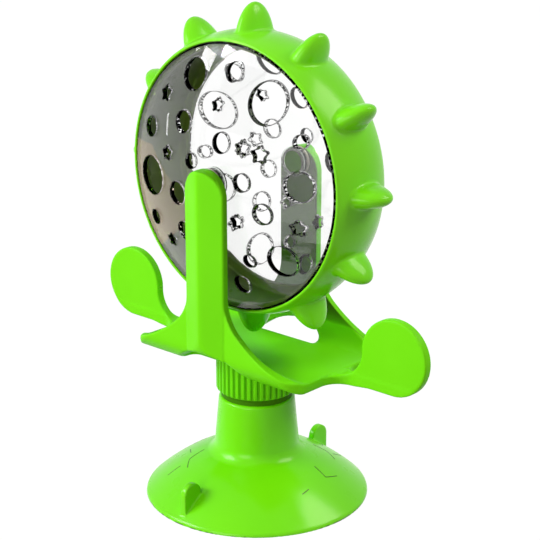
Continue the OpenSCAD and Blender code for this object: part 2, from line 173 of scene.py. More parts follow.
# Domes
DOME_Y = 27.6
DOME_EDGE_Y = 16.1
DOME_T = 2.5
DOME_GAP = 0.1
DOME_HUB_R = 5.95
REAR_TURN = math.radians(-30)
STAR_IN = 0.48
HOLE_BEVEL = 0.35
EDGE_BEVEL = 0.9
BEVEL_EASE = 0.3
LOOP_STEP = 0.6
LOOP_LEAST = 32
DOME_ROWS = 2.2
DOME_COLUMNS = 2.5
SPOT_MARGIN = 1.0
SPOT_EDGE_MARGIN = 1.6
# Holes of a dome: middle and width
ROUND_HOLES = [
    (-16.2, 43, 13), (6, 46.4, 7.8), (24.9, 35.9, 17.2), (4.1, 17.5, 8.3), (-19.5, 22.9, 9.1),
    (-43.3, 16.8, 8.3), (-42.3, -4.6, 17), (-22.8, -8.5, 9.8), (-42.3, -23.8, 6.4), (-20.2, -25, 7.8),
    (15.6, 2.5, 7.4), (25.5, -9.4, 8.4), (33.1, -28.8, 12.9), (10.5, -43.6, 7.4), (16.8, -31.5, 5.2),
    (42, 4.1, 12.6), (41.6, 22.3, 5.6), (-13, 7.3, 6.2),
]
STAR_HOLES = [
    (-33.7, 32.6, 8), (-29.6, 7.7, 7.5), (0, 32.5, 6.5), (15.4, 17, 7.8), (23.9, 15.2, 8.6),
    (-30.9, -31.8, 7), (12.6, -14.5, 7), (41.5, -13.3, 8), (-2.2, -29.1, 7),
]

# Camera, fitted to the photograph
CAMERA_AT = (424.5, -465.9, 303.7)
CAMERA_TURN = math.radians(41.80)
CAMERA_DIP = math.radians(17.57)
CAMERA_LENS = 100.54
SENSOR = 36.0

# Studio, in metres
FLOOR_SIZE = 6.0
FLOOR_DROP = 0.0002
FLOOR_TONE = (0.32, 0.27, 0.23, 1.0)
FLOOR_GLOW = 1.12
FLOOR_GLOW_SHARE = 0.9
WORLD_TONE = (0.23, 0.175, 0.145, 1.0)
WHITE = (1.0, 1.0, 1.0)
WARM = (1.0, 0.9, 0.75)
AMBER = (1.0, 0.55, 0.2)
# Name, place, aim, size, power, colour, and whether the lamp is only a reflection
LAMPS = [
    ("key", (-0.6, -0.85, 0.6), (0, 0, 0.1), (0.5, 0.5), 10.1, WHITE, False),
    ("back", (0.65, 0.55, 0.95), (0, 0, 0.1), (0.6, 0.6), 9.8, WARM, False),
    ("fill", (0.2, -1.0, 0.25), (0, 0, 0.1), (0.5, 0.5), 4.0, WARM, False),
    ("pane_left", (-1.03, -0.75, 0.57), (0, 0, 0.19), (0.15, 0.12), 0.75, WHITE, True),
    ("pane_right", (-0.83, -0.90, 0.67), (0, 0, 0.19), (0.24, 0.09), 0.80, WHITE, True),
    ("card_left", (-0.6, -0.1, 0.003), (-0.6, -0.1, 1.0), (0.7, 0.24), 0.48, AMBER, True),
    ("strip", (-1.23, -0.516, 0.09), (0, 0, 0.17), (0.02, 0.12), 0.05, WHITE, True),
]
# Dark cards: their corners
FLAG_TONE = (0.02, 0.02, 0.02, 1.0)
FLAGS = {
    "flag_floor": [
        (-0.13, -0.33, 0.0005), (0.13, -0.33, 0.0005), (0.13, -0.075, 0.0005), (-0.13, -0.075, 0.0005),
    ],
    "flag_wall": [(-0.95, -1.02, 0.2), (-0.53, -1.16, 0.2), (-0.53, -1.16, 0.7), (-0.95, -1.02, 0.7)],
}


# Distance fields

def smax(a, b, k):
    """The larger of two fields, rounded where they are within k of each other."""
    h = np.maximum(k - np.abs(a - b), 0.0) / k
    return np.maximum(a, b) + h * h * k * 0.25


def smin(a, b, k):
    return -smax(-a, -b, k)


def round_corner(p, q, r):
    """The quarter plane p < 0, q < 0 with its corner rounded to radius r."""
    p, q = p + r, q + r
    return np.minimum(np.maximum(p, q), 0.0) + np.hypot(np.maximum(p, 0.0), np.maximum(q, 0.0)) - r


def fillet_union(a, b, r):
    """The union of two fields with a concave fillet of about radius r."""
    return np.maximum(r, np.minimum(a, b)) - np.hypot(np.maximum(r - a, 0.0), np.maximum(r - b, 0.0))


def slope_of(field, points, h=0.01):
    return np.stack([
        (field(*(points + d).T) - field(*(points - d).T)) / (2 * h) for d in np.eye(3) * h
    ], 1)


def surface_net(field, low, high, step):
    """A quad mesh of field = 0 in a box that keeps edges crisp, with its points and their normals.

    Each cell that the surface passes gets the point that lies closest to the tangent planes where
    the surface crosses the cell's sides.
    """
    axes = [np.arange(a, b + step, step) for a, b in zip(low, high)]
    value = field(*np.meshgrid(*axes, indexing="ij", sparse=True)).astype(np.float32)
    value = np.broadcast_to(value, [len(a) for a in axes])
    inside = value < 0
    cells_shape = [n - 1 for n in inside.shape]
    count = np.zeros(cells_shape, np.int8)
    for dx, dy, dz in itertools.product((0, 1), repeat=3):
        count += inside[dx:dx + cells_shape[0], dy:dy + cells_shape[1], dz:dz + cells_shape[2]]
    cells = np.argwhere((count > 0) & (count < 8))
    index = np.full(cells_shape, -1, np.int32)
    index[tuple(cells.T)] = np.arange(len(cells))
    hits, total = np.zeros(len(cells)), np.zeros((len(cells), 3))
    spread_of, pull = np.zeros((len(cells), 3, 3)), np.zeros((len(cells), 3))
    quads = []
    for d in range(3):
        u, v = (d + 1) % 3, (d + 2) % 3
        ahead = np.moveaxis(inside, d, 0)
        change = np.argwhere(np.moveaxis(ahead[1:] != ahead[:-1], 0, d))
        change = change[(change[:, u] > 0) & (change[:, v] > 0)]
        change = change[(change[:, u] < cells_shape[u]) & (change[:, v] < cells_shape[v])]
        after = change.copy()
        after[:, d] += 1
        here, there = value[tuple(change.T)].astype(float), value[tuple(after.T)].astype(float)
        crossing = change.astype(float)
        crossing[:, d] += here / (here - there)
        crossing = crossing * step + np.array(low)
        normal = slope_of(field, crossing)
        normal /= np.maximum(np.linalg.norm(normal, axis=1, keepdims=True), 1e-9)
        plane = normal[:, :, None] * normal[:, None, :]
        reach = normal * (normal * crossing).sum(1, keepdims=True)
        ring = []
        for du, dv in ((1, 1), (0, 1), (0, 0), (1, 0)):
            cell = change.copy()
            cell[:, u] -= du
            cell[:, v] -= dv
            ring.append(index[tuple(cell.T)])
            for store, add in ((hits, 1.0), (total, crossing), (spread_of, plane), (pull, reach)):
                np.add.at(store, ring[-1], add)
        ring = np.stack(ring, 1)
        leaving = inside[tuple(change.T)]
        quads.append(np.where(leaving[:, None], ring, ring[:, ::-1]))
    hits = np.maximum(hits, 1.0)
    middle = total / hits[:, None]
    short = pull - (spread_of @ middle[:, :, None])[:, :, 0]
    move = np.linalg.solve(spread_of + 0.05 * np.eye(3), short[:, :, None])[:, :, 0]
    floor = cells * step + np.array(low)
    points = np.clip(middle + move, floor - 0.1 * step, floor + 1.1 * step)
    return settle(field, points, step) + (np.concatenate(quads).tolist(),)


def settle(field, points, step, rounds=6):
    """Moves points onto field = 0 along its slope, and returns them with the unit normals."""
    slope = None
    for _ in range(rounds):
        slope = slope_of(field, points)
        size = np.maximum((slope * slope).sum(1), 1e-6)
        move = (field(*points.T) / size)[:, None] * slope
        length = np.linalg.norm(move, axis=1, keepdims=True)
        points = points - move * np.minimum(1.0, 0.5 * step / np.maximum(length, 1e-9))
    return points, slope / np.linalg.norm(slope, axis=1, keepdims=True)


# Making pieces

def make_piece(name, points, normals, faces, material, body, nodes):
    mesh = bpy.data.meshes.new(name)
    mesh.from_pydata((np.asarray(points) * MM).tolist(), [], faces)
    mesh.polygons.foreach_set("use_smooth", np.ones(len(mesh.polygons), bool))
    if normals is not None:
        mesh.normals_split_custom_set_from_vertices(np.asarray(normals).tolist())
    mesh.materials.append(material)
    piece = bpy.data.objects.new(name, mesh)
    bpy.context.scene.collection.objects.link(piece)
    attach(piece, body)
    if nodes:
        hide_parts(*nodes)
    return piece


def grid_faces(rows, columns, around=True):
    """Quads of a grid whose points are listed row by row, closed round each row if asked."""
    faces = []
    for i in range(rows - 1):
        for j in range(columns if around else columns - 1):
            k = (j + 1) % columns
            faces.append((i * columns + j, i * columns + k, (i + 1) * columns + k, (i + 1) * columns + j))
    return faces


# Materials

def node_tree(name):
    material = bpy.data.materials.new(name)
    material.use_nodes = True
    nodes, links = material.node_tree.nodes, material.node_tree.links
    return material, nodes, links, nodes["Principled BSDF"]


def noise(nodes, links, scale, detail, where):
    texture = nodes.new("ShaderNodeTexNoise")
    texture.inputs["Scale"].default_value = scale
    texture.inputs["Detail"].default_value = detail
    links.new(where.outputs["Object"], texture.inputs["Vector"])
    return texture


def ramp(nodes, links, source, low, high, colours):
    node = nodes.new("ShaderNodeValToRGB")
    for element, place, colour in zip(node.color_ramp.elements, (low, high), colours):
        element.position = place
        element.color = (*colour, 1.0)
    links.new(source.outputs["Fac"], node.inputs["Fac"])
    return node


def spread(nodes, links, source, low, high):
    node = nodes.new("ShaderNodeMapRange")
    node.inputs["From Min"].default_value = 0.3
    node.inputs["From Max"].default_value = 0.7
    node.inputs["To Min"].default_value = low
    node.inputs["To Max"].default_value = high
    links.new(source.outputs["Fac"], node.inputs["Value"])
    return node


def moulded(name, dark, light, rough, grain=0.05, coat=0.0, shine=0.15):
    """Coloured moulded plastic: slow drifts of tone, uneven gloss and a fine moulded grain."""
    material, nodes, links, shader = node_tree(name)
    where = nodes.new("ShaderNodeTexCoord")
    tone = noise(nodes, links, 28.0, 3.0, where)
    colour = ramp(nodes, links, tone, 0.3, 0.7, (dark, light))
    links.new(colour.outputs["Color"], shader.inputs["Base Color"])
    gloss = noise(nodes, links, 90.0, 4.0, where)
    rough_range = spread(nodes, links, gloss, rough - 0.04, rough + 0.05)
    links.new(rough_range.outputs["Result"], shader.inputs["Roughness"])
    fine = noise(nodes, links, 2600.0, 2.0, where)
    bump = nodes.new("ShaderNodeBump")
    bump.inputs["Strength"].default_value = grain
    bump.inputs["Distance"].default_value = 0.0002
    links.new(fine.outputs["Fac"], bump.inputs["Height"])
    links.new(bump.outputs["Normal"], shader.inputs["Normal"])
    shader.inputs["IOR"].default_value = 1.47
    shader.inputs["Specular IOR Level"].default_value = shine
    shader.inputs["Coat Weight"].default_value = coat
    shader.inputs["Coat Roughness"].default_value = 0.2
    return material


def shade_gap(material, deep):
    """Paints shade into the base colour: darkens the faces of the uprights that look into the narrow gap
    beside the drum.
    """
    nodes, links = material.node_tree.nodes, material.node_tree.links
    shader = nodes["Principled BSDF"]
    colour = shader.inputs["Base Color"].links[0].from_socket
    where = nodes.new("ShaderNodeTexCoord")
    split = nodes.new("ShaderNodeSeparateXYZ")
    links.new(where.outputs["Object"], split.inputs[0])
    for y, (start, end) in ((-HALF_IN, GAP_FADE_FRONT), (HALF_IN, GAP_FADE_REAR)):
        beside, off, both = (nodes.new("ShaderNodeMath") for _ in range(3))
        across, along = (nodes.new("ShaderNodeMapRange") for _ in range(2))
        beside.operation, off.operation, both.operation = "SUBTRACT", "ABSOLUTE", "MULTIPLY"
        links.new(split.outputs["Y"], beside.inputs[0])
        beside.inputs[1].default_value = y * MM
        links.new(beside.outputs[0], off.inputs[0])
        for node, source, first, last in (
            (across, off.outputs[0], *GAP_FADE_OFF),
            (along, split.outputs["Z"], AXIS_Z - start, AXIS_Z - end),
        ):
            node.interpolation_type = "SMOOTHSTEP"
            node.inputs["From Min"].default_value = first * MM
            node.inputs["From Max"].default_value = last * MM
            links.new(source, node.inputs["Value"])
        links.new(across.outputs["Result"], both.inputs[0])
        links.new(along.outputs["Result"], both.inputs[1])
        mix = nodes.new("ShaderNodeMix")
        mix.data_type = "RGBA"
        links.new(both.outputs[0], mix.inputs["Factor"])
        links.new(colour, mix.inputs["A"])
        mix.inputs["B"].default_value = (*deep, 1.0)
        colour = mix.outputs["Result"]
    links.new(colour, shader.inputs["Base Color"])


def clear_plastic(name, tint, rough):
    """Clear polished plastic with faint haze and flow marks."""
    material, nodes, links, shader = node_tree(name)
    where = nodes.new("ShaderNodeTexCoord")
    haze = noise(nodes, links, 40.0, 4.0, where)
    colour = ramp(nodes, links, haze, 0.3, 0.7, (tint, tuple(min(1.0, c * 1.03) for c in tint)))
    links.new(colour.outputs["Color"], shader.inputs["Base Color"])
    rough_range = spread(nodes, links, haze, rough, rough + 0.02)
    links.new(rough_range.outputs["Result"], shader.inputs["Roughness"])
    shader.inputs["Transmission Weight"].default_value = 1.0
    shader.inputs["IOR"].default_value = 1.55
    return material


def cut_plastic(name, share):
    """The cut side of clear plastic: painted broken dark glints across its thickness, standing in for the
    light bent and reflected inside it, and clear between them.
    """
    material, nodes, links, shader = node_tree(name)
    where = nodes.new("ShaderNodeTexCoord")
    stretch = nodes.new("ShaderNodeMapping")
    stretch.inputs["Scale"].default_value = (1.0, 0.45, 1.0)
    links.new(where.outputs["Object"], stretch.inputs["Vector"])
    marks, shade = (nodes.new("ShaderNodeTexNoise") for _ in range(2))
    for texture, scale in ((marks, 1150.0), (shade, 1500.0)):
        texture.inputs["Scale"].default_value = scale
        texture.inputs["Detail"].default_value = 1.0
        links.new(stretch.outputs["Vector"], texture.inputs["Vector"])
    dark = nodes.new("ShaderNodeMapRange")
    dark.inputs["From Min"].default_value = share + 0.03
    dark.inputs["From Max"].default_value = share - 0.03
    dark.inputs["To Min"].default_value = 0.06
    dark.inputs["To Max"].default_value = 1.0
    links.new(marks.outputs["Fac"], dark.inputs["Value"])
    links.new(dark.outputs["Result"], shader.inputs["Alpha"])
    tint = ramp(nodes, links, shade, 0.45, 0.62, ((0.008, 0.010, 0.008), (0.30, 0.33, 0.29)))
    links.new(tint.outputs["Color"], shader.inputs["Base Color"])
    rough_range = spread(nodes, links, shade, 0.05, 0.2)
    links.new(rough_range.outputs["Result"], shader.inputs["Roughness"])
    shader.inputs["IOR"].default_value = 1.49
    return material


def painted_edge_reflection(name, thick):
    """The eased edge of a cut in clear plastic: a pale line, a painted reflection of the bright
    surroundings, that lets part of what is behind through.
    """
    material, nodes, links, shader = node_tree(name)
    where = nodes.new("ShaderNodeTexCoord")
    grain = noise(nodes, links, 900.0, 2.0, where)
    pale = ramp(nodes, links, grain, 0.3, 0.7, ((0.82, 0.84, 0.82), (0.95, 0.96, 0.95)))
    links.new(pale.outputs["Color"], shader.inputs["Base Color"])
    film = spread(nodes, links, grain, thick - 0.15, thick + 0.15)
    links.new(film.outputs["Result"], shader.inputs["Alpha"])
    rough_range = spread(nodes, links, grain, 0.15, 0.3)
    links.new(rough_range.outputs["Result"], shader.inputs["Roughness"])
    return material


def brushed_metal(name, dark, light):
    material, nodes, links, shader = node_tree(name)
    where = nodes.new("ShaderNodeTexCoord")
    streak = noise(nodes, links, 600.0, 3.0, where)
    colour = ramp(nodes, links, streak, 0.3, 0.7, (dark, light))
    links.new(colour.outputs["Color"], shader.inputs["Base Color"])
    rough_range = spread(nodes, links, streak, 0.25, 0.4)
    links.new(rough_range.outputs["Result"], shader.inputs["Roughness"])
    shader.inputs["Metallic"].default_value = 1.0
    return material


MAT_YOKE = moulded("yoke_green", (0.160, 0.770, 0.005), (0.175, 0.810, 0.007), 0.42, shine=0.1)
# Painted shade on the uprights' inner faces behind the drum
shade_gap(MAT_YOKE, (0.054, 0.155, 0.004))
MAT_COLLAR = moulded("collar_green", (0.150, 0.750, 0.005), (0.165, 0.790, 0.007), 0.38, shine=0.1)
MAT_RIM = moulded(
    "rim_green", (0.175, 0.770, 0.008), (0.190, 0.810, 0.010), 0.22, grain=0.0, coat=0.3, shine=0.05,
)
MAT_CUP = moulded(
    "cup_green", (0.170, 0.800, 0.003), (0.184, 0.840, 0.004), 0.3, grain=0.0, coat=0.4, shine=0.05,
)
# Painted shade: the inside of the drum in a dim olive green, darker than the rim's own green
MAT_RIM_IN_SHADE = moulded("rim_inside", (0.100, 0.180, 0.024), (0.112, 0.205, 0.028), 0.3, grain=0.02, shine=0.3)
# Painted shade: a darker green for the bottoms of the collar's grooves
MAT_GROOVE_SHADE = moulded("groove_painted_shade", (0.125, 0.560, 0.003), (0.135, 0.600, 0.004), 0.5)
# Painted shade: near-black green for the shadowed edges of the cup's stars
MAT_SHADE_LINE = moulded("star_edge_painted_shade", (0.020, 0.045, 0.010), (0.028, 0.058, 0.012), 0.5)
# Painted shade: the spacer in the yoke's green, darkened to the shade of the groove under the collar
MAT_SPACER_SHADE = moulded("spacer_dark", (0.050, 0.210, 0.003), (0.060, 0.240, 0.004), 0.55, shine=0.05)
MAT_WHITE = moulded("inner_white", (0.660, 0.680, 0.620), (0.720, 0.730, 0.680), 0.45)
MAT_STEEL = brushed_metal("screw_steel", (0.48, 0.49, 0.51), (0.60, 0.61, 0.63))
MAT_DOME = clear_plastic("dome_clear", (0.97, 0.98, 0.975), 0.0)
# Painted shade: the axle pins in the yoke's green, darkened to the shade of the gap beside the drum
MAT_PIN_SHADE = moulded("pin_painted_shade", (0.055, 0.170, 0.010), (0.065, 0.195, 0.012), 0.4)
MAT_HUB = clear_plastic("hub_clear", (0.90, 0.95, 0.90), 0.05)
# Painted glints on the cut sides of the domes' holes and on their outer edge
MAT_WALL = cut_plastic("dome_wall", 0.52)
MAT_RING = cut_plastic("dome_ring", 0.58)
# Painted reflection: a pale line on the eased edges of the domes' holes
MAT_EDGE = painted_edge_reflection("dome_edge_painted_reflection", 0.7)


# Suction cup

HOLLOW_R = ((CUP_R - SEAL_W) ** 2 + HOLLOW_H ** 2) / (2 * HOLLOW_H)
CHORD = (CUP_R - DOME_IN[0], LIP_T - DOME_IN[1])
CHORD_LEN = math.hypot(*CHORD)
SWELL_R = CHORD_LEN ** 2 / (8 * DOME_BULGE) + DOME_BULGE / 2
SWELL = (
    (CUP_R + DOME_IN[0]) / 2 + CHORD[1] / CHORD_LEN * (SWELL_R - DOME_BULGE),
    (LIP_T + DOME_IN[1]) / 2 - CHORD[0] / CHORD_LEN * (SWELL_R - DOME_BULGE),
)


def cup_outside(rho, z):
    dome = np.hypot(rho - SWELL[0], z - SWELL[1]) - SWELL_R
    slope = (NECK_FOOT_R - NECK_R) / (NECK_TOP - NECK_FOOT_Z)
    neck = rho - NECK_R - (NECK_TOP - z) * slope
    return smax(fillet_union(dome, neck, NECK_FILLET), z - NECK_TOP, NECK_ROUND)


def cup_field(x, y, z):
    rho = np.hypot(x, y)
    body = smax(cup_outside(rho, z), rho - CUP_R, CUP_ROUND)
    along = np.abs(y) - TAB_MID
    tab = np.where(z > TAB_MID_Z, np.hypot(along, z - TAB_MID_Z), np.abs(along)) - TAB_R
    tab = smax(tab, np.abs(x) - TAB_T / 2, TAB_ROUND)
    body = smin(body, np.maximum(tab, TAB_FOOT_Z - z), TAB_BLEND)
    body = smax(body, HOLLOW_R - np.hypot(rho, z - HOLLOW_H + HOLLOW_R), CUP_ROUND)
    body = np.maximum(body, -np.maximum(rho - STEM_R, NECK_TOP - STEM_DEPTH - z))
    return np.maximum(body, -z)


def build_cup():
    reach = CUP_R + 1.0
    low, high = (-reach, -reach, -1.2), (reach, reach, NECK_TOP + 1.4)
    points, normals, faces = surface_net(cup_field, low, high, NET_STEP)
    make_piece("cup_shell", points, normals, faces, MAT_CUP, "base", ["suction_cup"])


def build_cup_lines():
    """Thin dark raised strokes on the cup along parts of star outlines: painted shade where the edges of
    shallow star shapes fall in shadow.
    """
    points, faces = [], []
    for r0, a0, r1, a1 in CUP_SHADE_STROKES:
        share = np.linspace(0.0, 1.0, LINE_POINTS)
        rho, turn = r0 + (r1 - r0) * share, np.radians(a0 + (a1 - a0) * share)
        z = SWELL[1] + np.sqrt(SWELL_R ** 2 - (rho - SWELL[0]) ** 2)
        line = np.stack([rho * np.cos(turn), rho * np.sin(turn), z], 1)
        lean = (rho - SWELL[0]) / SWELL_R
        up = np.stack([lean * np.cos(turn), lean * np.sin(turn), np.sqrt(1.0 - lean ** 2)], 1)
        along = np.gradient(line, axis=0)
        side = np.cross(up, along / np.linalg.norm(along, axis=1, keepdims=True)) * LINE_HALF
        corners = (side + up * LINE_UP, side - up * LINE_DOWN, -side - up * LINE_DOWN, -side + up * LINE_UP)
        start = sum(len(p) for p in points)
        points.append(np.stack([line + c for c in corners], 1).reshape(-1, 3))
        faces += [tuple(start + k for k in quad) for quad in grid_faces(LINE_POINTS, 4)]
        last = start + 4 * (LINE_POINTS - 1)
        faces += [(start + 3, start + 2, start + 1, start), (last, last + 1, last + 2, last + 3)]
    piece = make_piece("cup_shade_strokes", np.concatenate(points), None, faces, MAT_SHADE_LINE, "base", [])
    piece.data.set_sharp_from_angle(angle=SHARP_TURN)


# Collar

def build_collar():
    columns = FLUTES * FLUTE_STEPS
    turn = np.arange(columns) * 2 * math.pi / columns
    pitch = 2 * math.pi / FLUTES
    offset = ((turn + pitch / 2) % pitch - pitch / 2) * COLLAR_R
    groove = FLUTE_DEPTH * np.exp(-(offset / FLUTE_HALF) ** 4)
    low, top = COLLAR_Z, COLLAR_TOP
    # The profile: radius, height and share of the grooves' depth
    rows = [
        (COLLAR_HOLE_R, low, 0), (COLLAR_R - 1.6, low, 0), (COLLAR_R - 1.1, low + 0.08, 0),
        (COLLAR_R - 0.6, low + 0.35, 0.3), (COLLAR_R - 0.2, low + 0.8, 0.8), (COLLAR_R, low + 1.3, 1),
        (COLLAR_R, low + 4, 1), (COLLAR_R, low + 8, 1), (COLLAR_R, low + 12, 1), (COLLAR_R, top - 0.3, 1),
        (COLLAR_R - 0.1, top, 1), (COLLAR_BORE_R, top, 0), (COLLAR_BORE_R, COLLAR_WEB_TOP, 0),
        (COLLAR_HOLE_R, COLLAR_WEB_TOP, 0), (COLLAR_HOLE_R, low, 0),
    ]
    points = []
    for radius, z, depth in rows[:-1]:
        r = radius - groove * depth
        points.append(np.stack([r * np.cos(turn), r * np.sin(turn), np.full(columns, z)], 1))
    count = len(rows) - 1
    faces = grid_faces(count, columns)
    last = (count - 1) * columns
    for j in range(columns):
        k = (j + 1) % columns
        faces.append((last + j, last + k, k, j))
    points = np.concatenate(points)
    piece = make_piece(
        "collar_fluted", points, None, faces, MAT_COLLAR, "yoke_body", ["knurled_collar"],
    )
    piece.data.set_sharp_from_angle(angle=SHARP_TURN)
    piece.data.materials.append(MAT_GROOVE_SHADE)
    # The deepest faces of the flutes take the darker green: painted shade in the grooves
    deep = (groove + np.roll(groove, -1)) / 2 > GROOVE_SHARE * FLUTE_DEPTH
    fluted = [i for i, (first, second) in enumerate(zip(rows, rows[1:])) if first[2] and second[2]]
    kinds = np.zeros((count, columns), np.int32)
    kinds[fluted] = deep
    piece.data.polygons.foreach_set("material_index", kinds.ravel())


# Yoke

SWEEP_X = UPRIGHT_HALF + SWEEP_R
SWEEP_DIR = (math.cos(SWEEP_TURN), math.sin(SWEEP_TURN))
SWEEP_FAR = (
    SWEEP_X + (SWEEP_R - SWEEP_FAR_R) * SWEEP_DIR[0],
    SWEEP_Z + (SWEEP_R - SWEEP_FAR_R) * SWEEP_DIR[1],
)
NECK_RISE = FLOOR_TOP + PADDLE_NECK_R
NECK_X = PADDLE_X - math.sqrt((PADDLE_R + PADDLE_NECK_R) ** 2 - (NECK_RISE - PADDLE_Z) ** 2)


def yoke_front(ax, z):
    """The outline from the front: a round-topped upright that sweeps out to the floor."""
    dx, dz = ax - SWEEP_X, z - SWEEP_Z
    near = SWEEP_R - np.hypot(dx, dz)
    far = SWEEP_FAR_R - np.hypot(ax - SWEEP_FAR[0], z - SWEEP_FAR[1])
    past = dx * SWEEP_DIR[1] - dz * SWEEP_DIR[0] < 0
    side = np.where(z > SWEEP_Z, ax - UPRIGHT_HALF, np.where(past, far, near))
    return np.where(z > UPRIGHT_MID_Z, np.hypot(ax, z - UPRIGHT_MID_Z) - UPRIGHT_HALF, side)


def bend(ay, z, half, low, r):
    """A rounded U, filled, across the yoke."""
    return round_corner(ay - half, low - z, r)


def paddle_field(ax, ay, z):
    """A paddle, with the web that sweeps out of the floor's end into it."""
    low_from, low_to = PADDLE_LOW_X
    share = np.clip((ax - low_from) / (low_to - low_from), 0.0, 1.0)
    low = FLOOR_Z + (PADDLE_Z - PADDLE_R - FLOOR_Z) * share * share * (3.0 - 2.0 * share)
    disc = np.hypot(ax - PADDLE_X, z - PADDLE_Z) - PADDLE_R
    top = np.where(ax < NECK_X, z - FLOOR_TOP, PADDLE_NECK_R - np.hypot(ax - NECK_X, z - NECK_RISE))
    ends = np.maximum(PADDLE_NECK_X[0] - ax, ax - PADDLE_NECK_X[1])
    neck = np.maximum(np.maximum(top, z - PADDLE_Z), np.maximum(low - z, ends))
    outline = np.minimum(disc, neck)
    strip = ay - PADDLE_T / 2
    rise = fillet_union(z - FLOOR_TOP, strip, PADDLE_FOOT_R)
    plan = fillet_union(round_corner(ax - FLOOR_HALF, ay - HALF_OUT, FLOOR_CORNER), strip, PADDLE_ROOT_R)
    return np.maximum(smax(smax(rise, outline, FLOOR_ROUND), plan, FLOOR_ROUND), ay - PADDLE_ROOT_Y)


def strap_field(ax, ay, z, front):
    """The U-shaped strap: floor and uprights."""
    outside, inside = bend(ay, z, HALF_OUT, FLOOR_Z, BEND_OUT), bend(ay, z, HALF_IN, FLOOR_TOP, BEND_IN)
    strap = smax(smax(outside, -inside, YOKE_ROUND), front, YOKE_ROUND)
    return smax(strap, round_corner(ax - FLOOR_HALF, ay - HALF_OUT, FLOOR_CORNER), FLOOR_ROUND)


def ridge_field(ax, ay, z, front):
    """The roof-shaped ridge down the outside of each upright."""
    rise = HALF_RIDGE - HALF_OUT
    across = math.hypot(rise, UPRIGHT_HALF)
    soft = np.sqrt(ax * ax + RIDGE_SOFT ** 2)
    roof = (soft * rise + (ay - HALF_RIDGE) * UPRIGHT_HALF) / across
    ridge = smax(roof, bend(ay, z, HALF_RIDGE, FLOOR_Z, RIDGE_BEND), YOKE_ROUND)
    ridge = smax(ridge, np.maximum(front, ax - UPRIGHT_HALF), YOKE_ROUND)
    return np.maximum(ridge, HALF_IN + 1.0 - ay)


def yoke_field(x, y, z):
    ax, ay, rho = np.abs(x), np.abs(y), np.hypot(x, y)
    front = yoke_front(ax, z)
    body = smin(strap_field(ax, ay, z, front), ridge_field(ax, ay, z, front), YOKE_ROUND)
    body = np.minimum(body, paddle_field(ax, ay, z))
    body = np.maximum(body, FLOOR_Z - z)
    plan = round_corner(ax - ARCH_HALF, ARCH_IN - ay, ARCH_CORNER)
    arch = smax(np.hypot(ax, z - ARCH_Z + ARCH_R) - ARCH_R, plan, FLOOR_ROUND)
    body = smax(body, -arch, FLOOR_ROUND)
    tube = np.maximum(rho - BOSS_R, BOSS_BORE_R - rho)
    body = np.minimum(body, np.maximum(tube, np.maximum(BOSS_Z - z, z - FLOOR_Z - BOSS_BITE)))
    pin = np.maximum(np.hypot(x, z - AXIS_Z) - PIN_HOLE_R, ay - PIN_OUT_Y)
    return np.maximum(body, -pin)


def build_yoke():
    reach_x, reach_y = YOKE_REACH
    low = (-reach_x, -reach_y, BOSS_Z - 1.0)
    high = (reach_x, reach_y, UPRIGHT_MID_Z + UPRIGHT_HALF + 1.4)
    points, normals, faces = surface_net(yoke_field, low, high, NET_STEP)
    make_piece("yoke_shell", points, normals, faces, MAT_YOKE, "yoke_body", ["yoke"])


# Rim with its spikes

CROWN_X = RIM_R - CROWN_R
SPIKE_MID = SPIKE_TIP_R - SPIKE_H


def egg_field(u, v, w):
    """An ellipsoid with the spike's half sizes, as a near distance."""
    sizes = (SPIKE_H, SPIKE_HALF_L, SPIKE_HALF_T)
    near = np.sqrt(sum((p / s) ** 2 for p, s in zip((u, v, w), sizes)))
    grow = np.sqrt(sum((p / (s * s)) ** 2 for p, s in zip((u, v, w), sizes)))
    return near * (near - 1.0) / np.maximum(grow, 1e-6)


def rim_field(x, y, z):
    up = z - AXIS_Z
    rho = np.hypot(x, up)
    outside = smax(np.hypot(rho - CROWN_X, y + CROWN_OFF) - CROWN_R, np.abs(y) - HALF_RIM, RIM_ROUND)
    step = 2 * math.pi / SPIKES
    turn = np.arctan2(up, x)
    near = turn - np.round(turn / step) * step
    spike = egg_field(rho * np.cos(near) - SPIKE_MID, y + SPIKE_OFF, rho * np.sin(near))
    body = smin(outside, spike, SPIKE_BLEND)
    chamber = np.hypot(rho - CROWN_X, y + CROWN_OFF) - (CROWN_R - RIM_WALL)
    chamber = smax(chamber, np.abs(y) - (LEDGE_Y - LEDGE_T), CHAMBER_ROUND)
    window = np.where(y < 0, FRONT_WIN_R, REAR_WIN_R)
    ledge = rho - window + LEDGE_W
    seat = np.maximum(rho - window, LEDGE_Y - np.abs(y))
    hollow = np.minimum(np.minimum(chamber, ledge), seat)
    return smax(body, -hollow, HOLLOW_ROUND)


def build_rim():
    reach = SPIKE_TIP_R + 1.2
    low = (-reach, -HALF_RIM - 1.2, AXIS_Z - reach)
    high = (reach, HALF_RIM + 1.2, AXIS_Z + reach)
    points, normals, faces = surface_net(rim_field, low, high, RIM_STEP)
    piece = make_piece("rim_spiked", points, normals, faces, MAT_RIM, "wheel", ["wheel_rim"])
    # The faces inside the drum take the second material, which paints shade into them
    piece.data.materials.append(MAT_RIM_IN_SHADE)
    middles = np.asarray(points)[np.array(faces)].mean(1)
    rho = np.hypot(middles[:, 0], middles[:, 2] - AXIS_Z)
    shell = np.hypot(rho - CROWN_X, middles[:, 1] + CROWN_OFF) < CROWN_R - RIM_WALL + 0.8
    within = shell & (np.abs(middles[:, 1]) < LEDGE_Y + 0.2)
    piece.data.polygons.foreach_set("material_index", within.astype(np.int32))


# Domes

